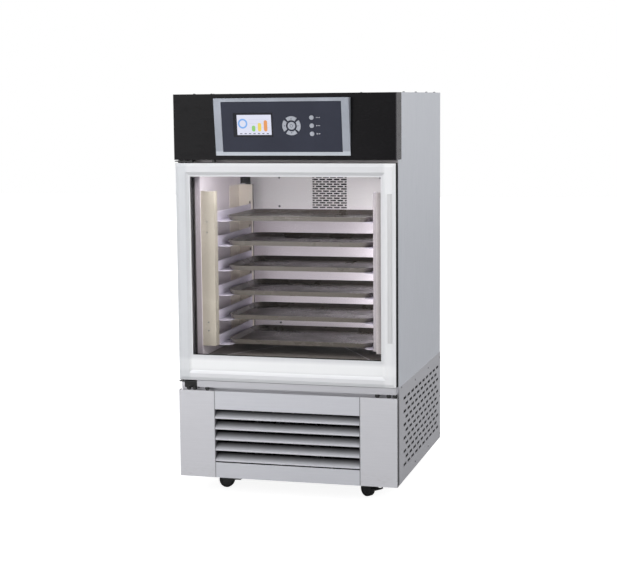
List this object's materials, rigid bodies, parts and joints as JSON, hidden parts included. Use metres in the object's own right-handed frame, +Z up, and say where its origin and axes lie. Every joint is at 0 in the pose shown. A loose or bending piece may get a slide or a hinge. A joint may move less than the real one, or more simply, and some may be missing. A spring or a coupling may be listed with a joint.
{
  "type": "dough proofing cabinet",
  "caption": "Upright heated and cooled dough proofing cabinet on castors, with a glazed hinged door, slide-in trays on runners, a button panel and a louvred machine base.",
  "frame": {"origin": "centre of the bounding box on the floor, under the castors", "axes": "+X to the right seen from the front, +Y towards the back, +Z up"},
  "size_m": [0.7, 0.752, 1.252],
  "materials": {
    "upper_steel": "satin brushed stainless steel",
    "base_steel": "brushed stainless steel",
    "chassis_steel": "zinc plated sheet steel",
    "foam": "foamed in place insulation",
    "liner_steel": "bright stainless lining",
    "fascia_black": "gloss black",
    "bezel_silver": "silver, satin",
    "plate_slate": "dark slate, smooth",
    "screen": "glossy display face",
    "board_green": "circuit board green",
    "button_grey": "smooth grey",
    "door_silver": "pale satin steel",
    "door_black": "matt black",
    "window_glass": "clear",
    "spacer_alloy": "mill finish",
    "seal_grey": "soft dark grey",
    "grip_alloy": "satin",
    "hinge_black": "black",
    "lamp_cream": "cream, semi gloss",
    "lens_opal": "opal",
    "rack_steel": "pale stainless steel",
    "tray_dark": "dark coated alloy",
    "fan_black": "black",
    "motor_grey": "grey",
    "coil_alloy": "bright fins",
    "pan_steel": "stainless",
    "shell_black": "black enamel",
    "pipe_copper": "copper",
    "castor_black": "black",
    "fork_steel": "black pressed steel",
    "wheel_black": "black tread"
  },
  "bodies": {
    "cabinet": {"side_panels": "upper_steel", "top_panel": "upper_steel", "rear_panel": "upper_steel", "vent_panels": "base_steel", "base_corner_panels": "base_steel", "louvre_panel": "base_steel", "sill_strip": "base_steel", "chassis": "chassis_steel", "castor_plates": "chassis_steel", "insulation": "foam", "liner": "liner_steel", "air_duct_panel": "liner_steel", "fascia": "fascia_black", "control_bezel": "bezel_silver", "control_plate": "plate_slate", "display": "screen", "control_board": "board_green", "hinge_brackets": "hinge_black", "lamp_housing": "lamp_cream", "lamp_lens": "lens_opal", "rack_uprights": "rack_steel", "tray_runners": "rack_steel", "circulation_motor": "motor_grey", "evaporator": "coil_alloy", "condenser": "coil_alloy", "humidifier_pan": "pan_steel", "compressor": "shell_black", "pipework": "pipe_copper"},
    "door": {"door_frame": "door_silver", "door_glass": "window_glass", "glass_spacer": "spacer_alloy", "door_back_frame": "door_black", "door_gasket": "seal_grey", "door_grip": "grip_alloy"},
    "enter_button": {"enter_button": "button_grey"},
    "right_button": {"right_button": "button_grey"},
    "up_button": {"up_button": "button_grey"},
    "left_button": {"left_button": "button_grey"},
    "down_button": {"down_button": "button_grey"},
    "mode_button": {"mode_button": "button_grey"},
    "light_button": {"light_button": "button_grey"},
    "start_button": {"start_button": "button_grey"},
    "tray_1": {"tray_1": "tray_dark"},
    "tray_2": {"tray_2": "tray_dark"},
    "tray_3": {"tray_3": "tray_dark"},
    "tray_4": {"tray_4": "tray_dark"},
    "tray_5": {"tray_5": "tray_dark"},
    "tray_6": {"tray_6": "tray_dark"},
    "circulation_fan": {"circulation_fan": "fan_black"},
    "condenser_fan": {"condenser_fan": "fan_black"},
    "castor_fork_front_left": {"castor_fork_front_left": "fork_steel"},
    "castor_wheel_front_left": {"castor_wheel_front_left": "wheel_black"},
    "castor_pedal_front_left": {"castor_pedal_front_left": "castor_black"},
    "castor_fork_front_right": {"castor_fork_front_right": "fork_steel"},
    "castor_wheel_front_right": {"castor_wheel_front_right": "wheel_black"},
    "castor_pedal_front_right": {"castor_pedal_front_right": "castor_black"},
    "castor_fork_rear_left": {"castor_fork_rear_left": "fork_steel"},
    "castor_wheel_rear_left": {"castor_wheel_rear_left": "wheel_black"},
    "castor_fork_rear_right": {"castor_fork_rear_right": "fork_steel"},
    "castor_wheel_rear_right": {"castor_wheel_rear_right": "wheel_black"}
  },
  "joints": [
    {"name": "door_hinge", "type": "hinge", "parent": "cabinet", "child": "door", "pos_m": [-0.334, -0.3345, 0.7], "axis": [0, 0, -1], "range_deg": [0, 105]},
    {"name": "tray_1_slide", "type": "slide", "parent": "cabinet", "child": "tray_1", "axis": [0, -1, 0], "range_m": [0, 0.1]},
    {"name": "tray_2_slide", "type": "slide", "parent": "cabinet", "child": "tray_2", "axis": [0, -1, 0], "range_m": [0, 0.1]},
    {"name": "tray_3_slide", "type": "slide", "parent": "cabinet", "child": "tray_3", "axis": [0, -1, 0], "range_m": [0, 0.1]},
    {"name": "tray_4_slide", "type": "slide", "parent": "cabinet", "child": "tray_4", "axis": [0, -1, 0], "range_m": [0, 0.1]},
    {"name": "tray_5_slide", "type": "slide", "parent": "cabinet", "child": "tray_5", "axis": [0, -1, 0], "range_m": [0, 0.1]},
    {"name": "tray_6_slide", "type": "slide", "parent": "cabinet", "child": "tray_6", "axis": [0, -1, 0], "range_m": [0, 0.1]},
    {"name": "enter_button_press", "type": "slide", "parent": "cabinet", "child": "enter_button", "axis": [0, 0.9916, 0.129], "range_m": [0, 0.001], "stiffness_N_per_m": 300},
    {"name": "right_button_press", "type": "slide", "parent": "cabinet", "child": "right_button", "axis": [0, 0.9916, 0.129], "range_m": [0, 0.001], "stiffness_N_per_m": 300},
    {"name": "up_button_press", "type": "slide", "parent": "cabinet", "child": "up_button", "axis": [0, 0.9916, 0.129], "range_m": [0, 0.001], "stiffness_N_per_m": 300},
    {"name": "left_button_press", "type": "slide", "parent": "cabinet", "child": "left_button", "axis": [0, 0.9916, 0.129], "range_m": [0, 0.001], "stiffness_N_per_m": 300},
    {"name": "down_button_press", "type": "slide", "parent": "cabinet", "child": "down_button", "axis": [0, 0.9916, 0.129], "range_m": [0, 0.001], "stiffness_N_per_m": 300},
    {"name": "mode_button_press", "type": "slide", "parent": "cabinet", "child": "mode_button", "axis": [0, 0.9916, 0.129], "range_m": [0, 0.001], "stiffness_N_per_m": 300},
    {"name": "light_button_press", "type": "slide", "parent": "cabinet", "child": "light_button", "axis": [0, 0.9916, 0.129], "range_m": [0, 0.001], "stiffness_N_per_m": 300},
    {"name": "start_button_press", "type": "slide", "parent": "cabinet", "child": "start_button", "axis": [0, 0.9916, 0.129], "range_m": [0, 0.001], "stiffness_N_per_m": 300},
    {"name": "circulation_fan_spin", "type": "hinge", "parent": "cabinet", "child": "circulation_fan", "pos_m": [0, 0.236, 0.9243], "axis": [0, 1, 0], "continuous": true},
    {"name": "condenser_fan_spin", "type": "hinge", "parent": "cabinet", "child": "condenser_fan", "pos_m": [0, -0.231, 0.158], "axis": [0, 1, 0], "continuous": true},
    {"name": "castor_swivel_front_left", "type": "hinge", "parent": "cabinet", "child": "castor_fork_front_left", "pos_m": [-0.244, -0.243, 0.05], "axis": [0, 0, 1], "continuous": true},
    {"name": "castor_roll_front_left", "type": "hinge", "parent": "castor_fork_front_left", "child": "castor_wheel_front_left", "pos_m": [-0.23, -0.243, 0.024], "axis": [0, 1, 0], "continuous": true},
    {"name": "castor_brake_front_left", "type": "hinge", "parent": "castor_fork_front_left", "child": "castor_pedal_front_left", "pos_m": [-0.203, -0.243, 0.03], "axis": [0, 1, 0], "range_deg": [0, 12]},
    {"name": "castor_swivel_front_right", "type": "hinge", "parent": "cabinet", "child": "castor_fork_front_right", "pos_m": [0.224, -0.243, 0.05], "axis": [0, 0, 1], "continuous": true},
    {"name": "castor_roll_front_right", "type": "hinge", "parent": "castor_fork_front_right", "child": "castor_wheel_front_right", "pos_m": [0.23547, -0.25103, 0.024], "axis": [0.5736, 0.8192, 0], "continuous": true},
    {"name": "castor_brake_front_right", "type": "hinge", "parent": "castor_fork_front_right", "child": "castor_pedal_front_right", "pos_m": [0.25759, -0.26652, 0.03], "axis": [0.5736, 0.8192, 0], "range_deg": [0, 12]},
    {"name": "castor_swivel_rear_left", "type": "hinge", "parent": "cabinet", "child": "castor_fork_rear_left", "pos_m": [-0.244, 0.286, 0.05], "axis": [0, 0, 1], "continuous": true},
    {"name": "castor_roll_rear_left", "type": "hinge", "parent": "castor_fork_rear_left", "child": "castor_wheel_rear_left", "pos_m": [-0.23048, 0.28962, 0.024], "axis": [-0.2588, 0.9659, 0], "continuous": true},
    {"name": "castor_swivel_rear_right", "type": "hinge", "parent": "cabinet", "child": "castor_fork_rear_right", "pos_m": [0.224, 0.286, 0.05], "axis": [0, 0, 1], "continuous": true},
    {"name": "castor_roll_rear_right", "type": "hinge", "parent": "castor_fork_rear_right", "child": "castor_wheel_rear_right", "pos_m": [0.23716, 0.28121, 0.024], "axis": [0.342, 0.9397, 0], "continuous": true}
  ]
}
